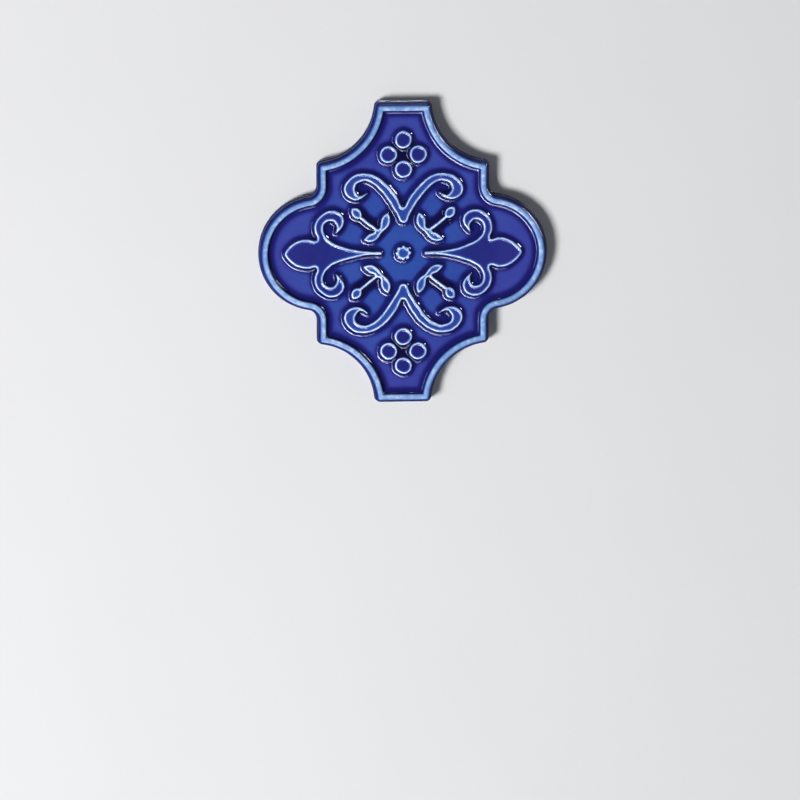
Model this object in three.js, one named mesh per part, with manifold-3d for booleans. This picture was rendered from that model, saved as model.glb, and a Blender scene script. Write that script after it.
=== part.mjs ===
// A glazed relief wall tile in the shape of a lantern, lying on its back.
// Millimetres, +Z up. X runs across the two round lobes, Y along the two necks.
// The origin is the middle of the flat back, which is the plane z = 0.
// The tile was pressed and fired as one piece, so it is one solid: a slab with a raised
// rim, and the ornament standing on the sunk field inside the rim.
import * as THREE from 'three';
import { mergeVertices } from 'three/addons/utils/BufferGeometryUtils.js';
import Module from 'manifold-3d';

// Outline, between outer edges
const tileLength = 150.4;      // along Y, between the two neck ends
const tileWidth = 142.6;       // along X, between the two lobes
const neckWidth = 28.2;        // straight end of a neck, between its unrounded corners
const shoulderWidth = 85.2;    // along X, between the straight sides under the flares
const shoulderLength = 91.3;   // along Y, between the unrounded shoulder corners of one side
const flareRadius = 30.1;      // hollow arc from a neck to a shoulder
const lobeRadius = 28.9;       // round lobe
const waistRadius = 4.8;       // hollow fillet between a straight side and a lobe
const cornerRadius = 3;        // outer corners of necks and shoulders
const innerCornerRadius = 0.4; // the same corners inside the rim, nearly sharp

// Section of slab and rim
const tileThickness = 10;      // back to rim crest
const fieldThickness = 7.5;    // back to sunk field
const sideDraft = 0.5;         // the back is smaller than the face by this much all round
const backChamfer = 0.6;
const rimShoulder = 1.5;       // rounded drop outside the crest, as wide as it is high
const rimCrest = 2.5;          // width of the flat crest
const rimWall = 1.3;           // run of the sloping wall inside the crest
const rimFillet = 0.8;         // run of the hollow foot of that wall
const rimFilletRise = 0.5;

// Relief of the ornament
const reliefHeight = 1.4;      // field to top of the ornament
const reliefWall = 0.8;        // run of its sloping walls
const reliefRoot = 1;          // how deep a motif's solid reaches into the slab
const dishDepth = 0.4;         // sunk middle of a disc or of the rosette

// Scroll: two bands joined in a V, one on each side of the middle
const scrollFoot = 15.9;       // from the tile's middle to the foot of the V
const scrollHeight = 23.8;
const scrollSpan = 57.8;       // both arms together

// Fleur-de-lis in each lobe, its stem towards the middle
const fleurMargin = 13.2;      // from the lobe's outer edge to the petal's point
const fleurLength = 47.2;
const fleurSpan = 42.6;        // across the two curled side petals

// Sprig between scroll and fleur-de-lis: two leaves, a stem and a bud
const leavesX = 6.8;           // corner of the box around the leaves, from the middle
const leavesY = 6.1;
const leavesWidth = 12.5;
const leavesHeight = 13.7;
const stemStart = new THREE.Vector2(13.1, 11.6);
const stemLength = 10.4;
const stemAngle = THREE.MathUtils.degToRad(38);
const stemWidth = 0.9;
const budLength = 5.9;
const budWidth = 4.3;
const budSink = 0.4;           // how far the bud's foot laps over the stem's end
const budLean = THREE.MathUtils.degToRad(9);

// Four discs in a cross, in each neck
const discRadius = 4;
const discSpacing = 7.3;       // from the middle of the cross to the middle of a disc
const discMargin = 26.1;       // from the neck's end to the middle of the cross
const discLip = 0.9;           // width of the raised edge around the dish

// Rosette in the middle
const rosetteRadius = 3.6;
const rosetteValley = 2.7;
const rosettePoints = 8;
const rosetteDish = 2.1;

// Fineness of the curves
const flareSteps = 11;
const lobeSteps = 12;
const waistSteps = 5;
const cornerSteps = 3;
const shoulderSteps = 3;
const strokeSteps = 2;         // between two control points of a stroke
const discSteps = 20;
const samePlace = 1e-5;        // points closer than this are one point

const glaze = new THREE.MeshStandardMaterial({ color: 0x2b3f9c, roughness: 0.12, metalness: 0 });

const wasm = await Module();
wasm.setup();

const quarterTurn = Math.PI / 2;
const point = (x, y) => new THREE.Vector2(x, y);

// Points on an arc, from one angle to another, both ends included
function arc(centre, radius, from, to, steps) {
  const clockwise = to < from;
  const curve = new THREE.EllipseCurve(centre.x, centre.y, radius, radius, from, to, clockwise);
  return curve.getPoints(steps);
}

// Smooth curve through a few control points
function stroke(controls) {
  const curve = new THREE.SplineCurve(controls.map(([x, y]) => point(x, y)));
  return curve.getPoints((controls.length - 1) * strokeSteps);
}

// Joins strokes end to end, with each shared end kept once
function joined(...strokes) {
  const points = [];
  for (const part of strokes) {
    for (const p of part) {
      const last = points.at(-1);
      if (!last || last.distanceTo(p) > samePlace) points.push(p);
    }
  }
  return points;
}

const flippedX = (points) => points.map((p) => point(-p.x, p.y)).reverse();
const flippedY = (points) => points.map((p) => point(p.x, -p.y)).reverse();

// A loop that closes on itself, without its last point if that repeats the first
function closedLoop(points) {
  const closes = points[0].distanceTo(points.at(-1)) < samePlace;
  const loop = closes ? points.slice(0, -1) : points;
  return THREE.ShapeUtils.isClockWise(loop) ? loop.toReversed() : loop;
}

// Centre of the flare's arc, through the neck's and the shoulder's corner
function flareCentre() {
  const neckCorner = point(neckWidth / 2, tileLength / 2);
  const shoulderCorner = point(shoulderWidth / 2, shoulderLength / 2);
  const chord = shoulderCorner.clone().sub(neckCorner);
  const halfChord = chord.length() / 2;
  const outward = point(-chord.y, chord.x).normalize();
  const distance = Math.sqrt(flareRadius ** 2 - halfChord ** 2);
  return neckCorner.add(shoulderCorner).multiplyScalar(0.5).addScaledVector(outward, distance);
}

// The tile's outline, moved inward by inset: a quarter of it from straight lines and arcs
// that touch each other, mirrored to the other three quarters
function tileOutline(inset) {
  const flare = flareCentre();
  const round = Math.max(cornerRadius - inset, innerCornerRadius);
  const reach = flareRadius + inset + round;

  const neckY = tileLength / 2 - inset - round;
  const neckX = flare.x - Math.sqrt(reach ** 2 - (flare.y - neckY) ** 2);
  const neckAngle = Math.atan2(flare.y - neckY, flare.x - neckX);

  const sideX = shoulderWidth / 2 - inset - round;
  const sideY = flare.y - Math.sqrt(reach ** 2 - (flare.x - sideX) ** 2);
  const sideAngle = Math.atan2(flare.y - sideY, flare.x - sideX);

  const lobe = point(tileWidth / 2 - lobeRadius, 0);
  const waistX = shoulderWidth / 2 + waistRadius;
  const waistY = Math.sqrt((lobeRadius + waistRadius) ** 2 - (waistX - lobe.x) ** 2);
  const waistAngle = Math.atan2(waistY, waistX - lobe.x);

  const quarter = joined(
    [point(0, tileLength / 2 - inset)],
    arc(point(neckX, neckY), round, quarterTurn, neckAngle, cornerSteps),
    arc(flare, flareRadius + inset, Math.PI + neckAngle, Math.PI + sideAngle, flareSteps),
    arc(point(sideX, sideY), round, sideAngle, 0, cornerSteps),
    arc(point(waistX, waistY), waistRadius + inset, Math.PI, Math.PI + waistAngle, waistSteps),
    arc(lobe, lobeRadius - inset, waistAngle, 0, lobeSteps),
  );
  const half = joined(quarter, flippedY(quarter));
  return closedLoop(joined(half, flippedX(half)));
}

// Slab and rim: the outline at each step of the section, joined by bands of triangles and
// closed by the back below and the field above
function slabAndRim() {
  const section = [
    [sideDraft + backChamfer, 0],
    [sideDraft, backChamfer],
  ];
  for (let i = 0; i <= shoulderSteps; i += 1) {
    const angle = (i / shoulderSteps) * quarterTurn;
    const inset = rimShoulder * (1 - Math.cos(angle));
    section.push([inset, tileThickness - rimShoulder * (1 - Math.sin(angle))]);
  }
  const crestEnd = rimShoulder + rimCrest;
  section.push([crestEnd, tileThickness]);
  section.push([crestEnd + rimWall, fieldThickness + rimFilletRise]);
  section.push([crestEnd + rimWall + rimFillet, fieldThickness]);

  const rings = section.map(([inset]) => tileOutline(inset));
  const count = rings[0].length;
  const positions = [];
  rings.forEach((ring, level) => {
    for (const p of ring) positions.push(p.x, p.y, section[level][1]);
  });
  const triangles = [];
  for (const [a, b, c] of THREE.ShapeUtils.triangulateShape(rings[0], [])) triangles.push(a, c, b);
  for (let level = 0; level < rings.length - 1; level += 1) {
    for (let i = 0; i < count; i += 1) {
      const next = (i + 1) % count;
      const low = level * count;
      const high = low + count;
      triangles.push(low + i, low + next, high + next);
      triangles.push(low + i, high + next, high + i);
    }
  }
  const top = (rings.length - 1) * count;
  for (const face of THREE.ShapeUtils.triangulateShape(rings.at(-1), [])) {
    triangles.push(...face.map((index) => top + index));
  }
  const geometry = new THREE.BufferGeometry();
  geometry.setAttribute('position', new THREE.Float32BufferAttribute(positions, 3));
  geometry.setIndex(triangles);
  return geometry;
}

// A motif with sloping walls: its top edge is the outline, its foot is wider by the wall
function raised(outline) {
  const geometry = new THREE.ExtrudeGeometry(new THREE.Shape(outline), {
    depth: reliefRoot,
    bevelThickness: reliefHeight,
    bevelSize: reliefWall,
    bevelSegments: 1,
  });
  return geometry.translate(0, 0, fieldThickness - reliefRoot);
}

// Stretches loops drawn by hand, all by the same amounts, to fill a box of real sizes
function fitted(loop, left, bottom, width, height) {
  const box = new THREE.Box2().setFromPoints(loop);
  const size = box.getSize(point(0, 0));
  return loop.map((p) => point(
    left + ((p.x - box.min.x) / size.x) * width,
    bottom + ((p.y - box.min.y) / size.y) * height,
  ));
}

// V-shaped scroll above the middle; the control points are of its right arm
function scroll() {
  const outer = stroke([
    [0, 22.6], [1.1, 23], [2, 24.5], [3.2, 27.2], [5, 30.3], [7.4, 33.5], [10, 36], [13, 38.2],
    [16.3, 39.4], [20, 39.7], [23.4, 38.7], [26.3, 36.7], [28.2, 34.2], [28.9, 31.8],
    [28.2, 29.5], [26.4, 28], [23.9, 27.4], [21.2, 28.1], [18.2, 30.1],
  ]);
  const inner = stroke([
    [18.2, 30.1], [20.1, 29.3], [22, 29], [23.6, 30], [24.3, 31.6], [24.2, 33.6], [23, 35.2],
    [21, 36], [18.4, 36.1], [15.5, 34.9], [12.5, 32.9], [9.6, 30], [7.1, 26.8], [4.8, 22.8],
    [3, 19.6], [1.8, 15.9],
  ]);
  const arm = joined(outer, inner);
  const loop = closedLoop(joined(arm, flippedX(arm)));
  return fitted(loop, -scrollSpan / 2, scrollFoot, scrollSpan, scrollHeight);
}

// Fleur-de-lis on the right; the control points are of its upper half
function fleurDeLis() {
  const stem = stroke([
    [10.9, 0], [11.6, 0.6], [16, 0.7], [20, 1.1], [25, 2], [29.9, 3.4], [34.9, 5.3], [38.1, 7.9],
    [39.8, 10.6], [40.2, 12.9], [39.4, 15.1], [38, 16.5], [36.3, 17], [34.5, 16.3],
    [33.3, 14.8], [32.8, 13], [33.2, 10.8],
  ]);
  const curl = stroke([
    [33.2, 10.8], [31.7, 12.6], [30.5, 14.6], [30.1, 16.8], [30.7, 18.9], [32.4, 20.6],
    [35, 21.3], [38, 20.7], [40.6, 18.9], [42.5, 16.2], [43.4, 13.4], [42.9, 10.5],
    [42, 8.4], [42.3, 6.6],
  ]);
  const petal = stroke([
    [42.3, 6.6], [43.7, 6.1], [47, 6.6], [50, 6.5], [52.7, 5.4], [55, 3.6], [56.9, 1.5], [58.1, 0],
  ]);
  const half = joined(stem, curl, petal);
  const loop = closedLoop(joined(half, flippedY(half)));
  const left = tileWidth / 2 - fleurMargin - fleurLength;
  return fitted(loop, left, -fleurSpan / 2, fleurLength, fleurSpan);
}

// The sprig's two leaves in one outline, from the upper leaf's point round to it again
function leaves() {
  const outside = stroke([
    [7.7, 19.8], [7, 18.2], [6.8, 16.4], [7, 14.9], [7.9, 13.2], [9.2, 11.9], [10.6, 10.8],
    [11.6, 9.5], [12.6, 8.1], [13.9, 6.9], [15.5, 6.2], [17.3, 6.1], [19.3, 6.7],
  ]);
  const lowerLeaf = stroke([
    [19.3, 6.7], [18.3, 8], [16.7, 9.4], [15.2, 10], [14.1, 10.5], [13.5, 11.5], [12.6, 12],
  ]);
  const upperLeaf = stroke([
    [12.6, 12], [11.5, 12.2], [10.9, 13.2], [10.8, 15], [10.4, 17], [9.3, 18.7], [7.7, 19.8],
  ]);
  const loop = closedLoop(joined(outside, lowerLeaf, upperLeaf));
  return fitted(loop, leavesX, leavesY, leavesWidth, leavesHeight);
}

// The sprig's stem, from the leaves' fork to the bud
function stem() {
  const along = point(Math.cos(stemAngle), Math.sin(stemAngle));
  const across = point(-along.y, along.x).multiplyScalar(stemWidth / 2);
  const end = stemStart.clone().addScaledVector(along, stemLength);
  return [
    stemStart.clone().sub(across),
    end.clone().sub(across),
    end.clone().add(across),
    stemStart.clone().add(across),
  ];
}

// The sprig's bud, an oval with a blunt point at its far end
function bud() {
  const side = stroke([
    [0, 0], [1.2, 1.3], [2.8, 2.15], [4.4, 1.9], [5.4, 1.1], [5.9, 0],
  ]);
  const loop = closedLoop(joined(side, flippedY(side)));
  const along = point(Math.cos(stemAngle), Math.sin(stemAngle));
  const foot = stemStart.clone().addScaledVector(along, stemLength - budSink);
  return fitted(loop, 0, -budWidth / 2, budLength, budWidth)
    .map((p) => p.rotateAround(point(0, 0), stemAngle + budLean).add(foot));
}

// Eight-pointed star of the rosette
function star() {
  const points = [];
  for (let i = 0; i < rosettePoints * 2; i += 1) {
    const radius = i % 2 ? rosetteValley : rosetteRadius;
    const angle = (i * Math.PI) / rosettePoints;
    points.push(point(radius * Math.cos(angle), radius * Math.sin(angle)));
  }
  return points;
}

// A turned body: pairs of radius and height, from the axis below round to the axis above
function turned(profile, x, y) {
  const geometry = new THREE.LatheGeometry(profile.map(([r, z]) => point(r, z)), discSteps);
  return geometry.rotateX(quarterTurn).translate(x, y, 0);
}

// A round button with a dished top
function disc(x, y) {
  const top = fieldThickness + reliefHeight;
  return turned([
    [0, fieldThickness - reliefRoot],
    [discRadius + reliefWall, fieldThickness - reliefRoot],
    [discRadius + reliefWall, fieldThickness],
    [discRadius, top],
    [discRadius - discLip, top - dishDepth],
    [0, top - dishDepth],
  ], x, y);
}

// The hollow cut into the rosette's top
function rosetteHollow() {
  const top = fieldThickness + reliefHeight;
  return turned([
    [0, top - dishDepth],
    [rosetteDish, top - dishDepth],
    [rosetteDish, top + dishDepth],
    [0, top + dishDepth],
  ], 0, 0);
}

// A closed mesh as a solid that can be joined and cut
function solid(geometry) {
  const bare = geometry.clone();
  bare.deleteAttribute('normal');
  bare.deleteAttribute('uv');
  const merged = mergeVertices(bare, samePlace);
  return new wasm.Manifold(new wasm.Mesh({
    numProp: 3,
    vertProperties: merged.attributes.position.array,
    triVerts: new Uint32Array(merged.index.array),
  }));
}

function toGeometry(body) {
  const mesh = body.getMesh();
  const geometry = new THREE.BufferGeometry();
  geometry.setAttribute('position', new THREE.BufferAttribute(mesh.vertProperties, mesh.numProp));
  geometry.setIndex(new THREE.BufferAttribute(mesh.triVerts, 1));
  geometry.computeVertexNormals();
  return geometry;
}

// All motifs of the ornament, each mirrored to where it repeats
function ornament() {
  const motifs = [raised(scroll()), raised(closedLoop(flippedY(scroll())))];
  motifs.push(raised(fleurDeLis()), raised(closedLoop(flippedX(fleurDeLis()))));
  for (const outline of [leaves(), stem(), bud()]) {
    for (const half of [outline, flippedX(outline)]) {
      motifs.push(raised(closedLoop(half)), raised(closedLoop(flippedY(half))));
    }
  }
  const discMiddle = tileLength / 2 - discMargin;
  for (const side of [1, -1]) {
    for (let i = 0; i < 4; i += 1) {
      const x = discSpacing * Math.round(Math.cos(i * quarterTurn));
      const y = discSpacing * Math.round(Math.sin(i * quarterTurn));
      motifs.push(disc(x, side * discMiddle + y));
    }
  }
  motifs.push(raised(star()));
  return motifs;
}

let body = solid(slabAndRim());
for (const motif of ornament()) body = body.add(solid(motif));
body = body.subtract(solid(rosetteHollow()));

const tile = new THREE.Mesh(toGeometry(body), glaze);
tile.name = 'tile_body';

const part = new THREE.Group();
part.add(tile);

export default part;
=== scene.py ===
import math

import bpy
import numpy as np
from bpy.props import FloatProperty, FloatVectorProperty, PointerProperty
from mathutils import Matrix, Vector
from mathutils.geometry import delaunay_2d_cdt


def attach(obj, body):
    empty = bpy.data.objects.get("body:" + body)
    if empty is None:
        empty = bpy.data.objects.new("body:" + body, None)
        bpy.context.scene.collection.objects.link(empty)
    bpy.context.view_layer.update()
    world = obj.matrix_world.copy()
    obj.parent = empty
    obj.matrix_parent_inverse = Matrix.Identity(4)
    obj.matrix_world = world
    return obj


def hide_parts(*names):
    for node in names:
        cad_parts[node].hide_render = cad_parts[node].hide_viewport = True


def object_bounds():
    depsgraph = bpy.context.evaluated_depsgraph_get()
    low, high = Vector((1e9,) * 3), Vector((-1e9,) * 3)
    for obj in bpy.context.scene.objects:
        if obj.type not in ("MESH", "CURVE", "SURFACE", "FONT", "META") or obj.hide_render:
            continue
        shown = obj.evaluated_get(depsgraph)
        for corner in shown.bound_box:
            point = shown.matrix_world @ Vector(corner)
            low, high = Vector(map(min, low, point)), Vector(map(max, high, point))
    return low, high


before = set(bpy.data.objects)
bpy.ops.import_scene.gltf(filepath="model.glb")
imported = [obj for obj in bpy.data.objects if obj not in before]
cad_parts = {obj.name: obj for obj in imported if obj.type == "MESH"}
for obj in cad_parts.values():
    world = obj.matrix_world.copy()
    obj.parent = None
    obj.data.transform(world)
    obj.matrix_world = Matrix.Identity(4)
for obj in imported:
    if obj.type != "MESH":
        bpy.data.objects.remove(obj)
CAD_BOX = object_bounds()

bl_info = {
    "name": "Ceramic Tile",
    "version": (1, 0, 0),
    "blender": (4, 5, 0),
    "location": "View3D > Sidebar > Tile",
    "description": "A lantern-shaped relief tile with a cobalt glaze, its stage and its camera",
    "category": "Object",
}

# Lengths are worked out in millimetres, and a finished mesh is in metres
MM = 0.001
TILE_NODE = "tile_body"
DEPTH = "glaze_depth"
MAP = "OFBake"
# The tile's materials, by their place among its slots
GLAZED, DRY, BARE = 0, 1, 2

# The photo's frame in pixels, how many show a millimetre, and the pixel of the tile's middle
PHOTO_SIDE = 800
PIXELS_PER_MM = 2.034
TILE_PIXEL = (403.6, 253.6)
# Nearest and furthest distance that the camera sees, in metres
CLIP = (0.01, 20)

# Ornament of one quarter, in millimetres from the tile's middle, each line through its points
SCROLL_OUTSIDE = [
    (0, 22.7), (1, 23), (1.8, 24.6), (3.1, 27.3), (5, 30.3), (7.5, 33.4), (10.1, 35.9), (13.1, 38),
    (16.3, 39.2), (20, 39.6), (23.5, 38.9), (26.5, 36.9), (28.5, 34.3), (29, 31.8), (28.2, 29.4),
    (26.4, 27.8), (23.8, 27), (20.9, 27.6), (17.9, 29.8),
]
SCROLL_INSIDE = [
    (17.9, 29.8), (20, 28.9), (21.9, 28.6), (23.3, 30), (24.1, 31.6), (23.9, 33.5), (22.9, 35),
    (21, 35.9), (18.4, 36.3), (15.4, 35.1), (12.5, 32.9), (9.8, 29.9), (7.4, 26.6), (5, 22.7),
    (3, 19.4), (1.8, 16.7), (1.2, 15.9), (0.6, 15.6), (0, 15.6),
]
FLEUR_STEM = [
    (10.9, 0), (11.5, 0.5), (16, 0.5), (20, 0.9), (25, 1.9), (29.9, 3.2), (34.9, 5.2), (38.1, 7.9),
    (39.6, 10.7), (39.8, 12.9), (39.1, 14.9), (37.8, 16.2), (36.2, 16.8), (34.4, 16.5), (33, 15),
    (32.4, 13.1), (33, 10.7),
]
FLEUR_CURL = [
    (33, 10.7), (31.3, 12.3), (29.9, 14.4), (29.6, 16.8), (30.4, 19), (32.3, 20.7), (35, 21.4),
    (38, 20.8), (40.7, 19), (42.8, 16.4), (43.6, 13.4), (43.2, 10.4), (42.3, 8.3), (42.4, 6.7),
]
FLEUR_PETAL = [
    (42.4, 6.7), (43.8, 6.3), (47, 7), (50.1, 6.8), (52.9, 5.7), (55.3, 4), (57.1, 2.1),
    (58, 0.7), (58.2, 0),
]
LEAVES_BACK = [
    (7.7, 19.8), (7, 18.2), (6.8, 16.4), (7, 14.9), (7.9, 13.2), (9.2, 11.9), (10.6, 10.8),
    (11.6, 9.5), (12.6, 8.1), (13.9, 6.9), (15.5, 6.2), (17.3, 6.1), (19.3, 6.7),
]
LEAF_LOWER = [
    (19.3, 6.7), (18.3, 8), (16.7, 9.4), (15.2, 10), (14.1, 10.5), (13.5, 11.5), (12.6, 12),
]
LEAF_UPPER = [
    (12.6, 12), (11.5, 12.2), (10.9, 13.2), (10.8, 15), (10.4, 17), (9.3, 18.7), (7.7, 19.8),
]
STEM_START, STEM_LENGTH, STEM_WIDTH, STEM_ANGLE = (13.1, 11.6), 10.4, 0.9, 38
BUD_SIDE = [(0, 0), (1.1, 1.3), (2.6, 2.1), (4.1, 1.95), (5.4, 1.1), (6.2, 0)]
BUD_SINK, BUD_LEAN = 0.4, 9
DISC_SPOTS = [(7.3, 49.1), (0, 56.4), (0, 41.8)]
DISC_RADIUS = 4
ROSETTE_RADIUS, ROSETTE_VALLEY, ROSETTE_DISH, ROSETTE_ROUND, ROSETTE_POINTS = 3.65, 2.8, 2.7, 3.2, 8
# Sharpness of the rosette's points, how far inside its outline its flat ridge lies, and the distances
# from the middle between which its star eases into a round foot
ROSETTE_SHARPNESS, ROSETTE_RIDGE, ROSETTE_EASE = 1.5, 0.25, (3.4, 4.4)
# Depth of the glaze in each motif's hollow, and the share of the full height that the motif has
HOLLOWS = {
    "scroll": (0.53, 1), "fleur": (0.63, 1), "leaves": (0.47, 0.95), "stem": (0.3, 0.85),
    "bud": (0.52, 0.9), "disc": (0.68, 1), "rosette": (0.56, 0.85),
}
# Points to each span of a drawn line and of a leaf, round a disc, and to each point of the rosette
LINE_STEPS, LEAF_STEPS, DISC_STEPS, ROSETTE_STEPS = 8, 6, 64, 12

# Points along a quarter of the tile's outline: its neck, corners, flare, short straight, waist and lobe
NECK_STEPS, CORNER_STEPS, FLARE_STEPS, STRAIGHT_STEPS, WAIST_STEPS, LOBE_STEPS = 20, 10, 68, 12, 14, 80
# Least radius of a corner at an inset, and the inset from which the corners open again, and how fast
LEAST_CORNER, CORNER_OPENS, CORNER_OPENING = 0.4, 4, 0.35

# The tile's thickness, the section of its rim, each point by its inset from the tile's edge and its height
# over the bed, and the points to each span of the crest
THICKNESS = 10
BED_EDGE = [(0.9, 0), (0.7, 0.06), (0.34, 0.36), (0.24, 0.6)]
SIDE = [
    (0.16, 1.6), (0.05, 3.8), (0, 4.4), (0, 4.66), (0.04, 4.8), (0.12, 4.9), (0.24, 5.02),
    (0.36, 5.14), (0.43, 5.26), (0.46, 5.5), (0.44, 7.2),
]
CREST = [
    (0.47, 7.7), (0.65, 8.3), (1.05, 8.85), (1.5, 9.36), (1.9, 9.745), (2.15, 9.9), (2.6, 9.965),
    (3.3, 9.985), (3.9, 9.95), (4.2, 9.82), (4.42, 9.42), (4.74, 8.6), (4.98, 8.14), (5.3, 7.84),
    (5.7, 7.66), (6.15, 7.55), (7, 7.5),
]
CREST_STEPS = 2
# Heights of the narrow glazed ledge on the side, and of the dry coat's end on the outer shoulder
LEDGE_FOOT, LEDGE_TOP, DRY_TOP = 4.75, 5.2, 9.35
# Depth of the glaze over the rim, by inset: 0 is bare, 0.5 the plain field, 1 the deepest pool
RIM_DEPTH = [
    (0, 0.8), (1.2, 0.78), (1.5, 0.68), (1.8, 0.48), (2.1, 0.28), (2.45, 0.17), (2.9, 0.125), (3.5, 0.11),
    (4.1, 0.115), (4.4, 0.17), (4.56, 0.4), (4.72, 0.72), (4.95, 0.85), (5.6, 0.84), (6.3, 0.8),
    (7, 0.74), (7.6, 0.68), (8.2, 0.6), (8.8, 0.53), (9.6, 0.5),
]
# The side's top and depth of glaze, and the ledge's depth at a neck, where it stops short of the corners
SIDE_TOP, SIDE_DEPTH, LEDGE_DEPTH, LEDGE_SHORT = 7.4, 0.9, 0.48, 1.2

# Slope of a raised line's wall, by distance inside its outline, and the steps in which it is added up
WALL_SLOPE = [
    (-2.5, 0), (-2.2, 0.1), (-1.95, 0.28), (-1.6, 0.42), (-1.3, 0.52), (-1.12, 0.93), (-0.8, 0.93),
    (0.4, 0), (0.85, -0.42), (1.45, 0),
]
WALL_STEPS = 400
# Depth of the glaze over a raised line, by distance inside its outline, as a share of the way from bare
# to field, and the painted shade added on top of it, as extra depth, low on the wall and at its foot
EDGE_DEPTH = [
    (-0.54, 1), (-0.3, 0.62), (-0.07, 0.16), (0.12, 0), (0.42, 0.03), (0.66, 0.3), (0.9, 0.7), (1.4, 1),
]
WALL_SHADE_DEPTH = [(-1.6, 0), (-1.15, 0.02), (-0.7, 0.05), (-0.4, 0)]
# Distance inside an outline over which the glaze of the field gives way to that of a hollow
HOLLOW_FADE = (0.2, 0.6)

# Depth of the glaze on the field far from any line, what is added as the lines come from one closeness to
# another, how far off a line still counts as close, and the closeness over which the rim's own pool ends
FIELD_DEPTH = 0.48
POOLS = [(0.28, 0.08, 0.7), (0.07, 0.6, 1), (0.25, 1, 1.5)]
POOL_REACH = 1.9
RIM_POOL_FADE = (0.2, 0.8)
# What is added amid a group of discs, and the distances from its middle between which that sets in
DISC_POOL, DISC_POOL_FADE = 0.24, (3.4, 1.6)

# Slow waves of the fired face: height in millimetres, radians a millimetre along X and Y, and start
WAVES = [
    (0.030, 0.21, 0.13, 0.7), (0.026, -0.17, 0.29, 2.1), (0.016, 0.47, -0.38, 4), (0.012, 0.61, 0.55, 1.3),
]
# Heights over which the waves set in, and the share that they may take of the room left above
WAVE_FADE, WAVE_SHARE = (7, 8), 0.999
# Hand-pressed wander of the ornament: reach in millimetres, then radians a millimetre along X and Y
WANDER = [(0.09, 0.31, 0.17), (0.07, -0.24, 0.42), (0.045, 0.83, -0.61), (0.02, 1.4, 1.1)]
# Start of each wave of the wander after the one before, along and across, and how fast those across turn
WANDER_ALONG, WANDER_ACROSS, WANDER_TURN = 1.7, 2.3, 1.13
# Inset over which the wander sets in
WANDER_FADE = (7, 10)

# Distances inside an outline to which the mesh's fine points slide
LEVELS = np.array([
    -2.5, -2.15, -1.85, -1.55, -1.25, -0.95, -0.68, -0.42, -0.18, 0.04, 0.25, 0.46, 0.7, 0.96, 1.3, 1.75,
])
# How far past these the fine points go on and the coarse ones begin, and how far both stay from the rim
FINE_MARGIN, COARSE_MARGIN, FINE_GAP, COARSE_GAP = 0.15, 0.35, 0.4, 0.55
# Share of a fine step within which a point moves onto an axis, and the decimals kept of its place
AXIS_SHARE, DECIMALS = 0.45, 3
# Points worked out at a time, and what counts as no length or distance, and as no rise
BATCH, NO_LENGTH, NO_RISE = 4000, 1e-6, 1e-12
# Kind of triangulation, which fills its outline's inside, and the distance within which points merge
FILL_INSIDE, MERGE = 1, 1e-5

# Baking map: scale and corner of the plan and of the back, the millimetres of room that both get, the
# side's span across, and its scale and start along the outline
PLAN_SCALE, PLAN_CORNER = (0.76, 0.76), (0, 0.24)
BACK_SCALE, BACK_CORNER = (-0.22, 0.22), (0.23, 0.01)
MAP_ROOM = 2
SIDE_ACROSS, SIDE_SCALE, SIDE_START = (0.79, 0.985), 0.98, 0.01

# Place of each of the glaze's colours by its depth
GLAZE_STOPS = [
    (0, "bare"), (0.12, "edge"), (0.3, "thin"), (0.5, "body"), (0.62, "dense"), (0.75, "pool"),
    (0.88, "dark"), (1, "deep"),
]
# Blobs a metre in the glaze's patterns
CLOUDS, TINTS, SWELL, FLECKS, GRAIN, SPECKS = 55, 30, 160, 380, 700, 130
# Room for a shader node
COLUMN_WIDTH, ROW_HEIGHT = 240, 420

# The main light: its turn and height in degrees, and its distance and size in metres
KEY_PLACE, KEY_AWAY, KEY_SIZE = (203, 52), 3, (0.8, 0.8)
# Lights that show only as highlights: their distance, then for each the turn and slope of the glaze that
# shows it, in degrees, its size in metres and its colour
GLINT_AWAY = 1.2
PALE_BLUE = (0.85, 0.9, 1)
GLINTS = {
    "ridges": (236, 9, (0.5, 0.14), PALE_BLUE),
    "low_left": (225, 36, (1, 0.16), (0.8, 0.86, 1)),
    "spot": (40, 41, (0.22, 0.08), PALE_BLUE),
    "far_edge": (90, 49.4, (0.5, 0.06), PALE_BLUE),
    "shoulder": (35, 44.6, (0.8, 0.06), PALE_BLUE),
    "low_right": (30, 45, (0.9, 0.08), PALE_BLUE),
}
# The row of such lights for slopes that face left and down: turn, slope and share of their power
STRIPS = [(172, 22, 0.15), (196, 21, 0.42), (222, 15, 0.9), (248, 19, 0.56), (272, 22, 0.2)]
STRIP_SIZE, STRIP_COLOUR = (0.42, 0.22), (0.74, 0.8, 1)
ROOM_COLOUR = (0.93, 0.95, 1)


def smooth(x, low, high):
    """0 below low, 1 above high, and 3t² - 2t³ between them."""
    t = np.clip((x - low) / (high - low), 0, 1)
    return t * t * (3 - 2 * t)


def spline(points, steps):
    """A smooth line through points: each span is a cubic in t that leaves every point parallel to the
    chord between its two neighbours. The end points count twice."""
    p = np.array(points, float)
    p = np.concatenate([p[:1], p, p[-1:]])
    a, b, c, d = (q[:, None, :] for q in (p[:-3], p[1:-2], p[2:-1], p[3:]))
    t = (np.arange(steps) / steps)[None, :, None]
    square = (2 * a - 5 * b + 4 * c - d) * t**2 / 2
    cube = (3 * b - a - 3 * c + d) * t**3 / 2
    line = b + (c - a) * t / 2 + square + cube
    return np.concatenate([line.reshape(-1, 2), p[-1:]])


def arc(x, y, radius, start, end, steps):
    """Points on a circle round (x, y) from angle start to angle end."""
    angle = np.linspace(start, end, steps + 1)
    return np.stack([x + radius * np.cos(angle), y + radius * np.sin(angle)], 1)


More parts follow.
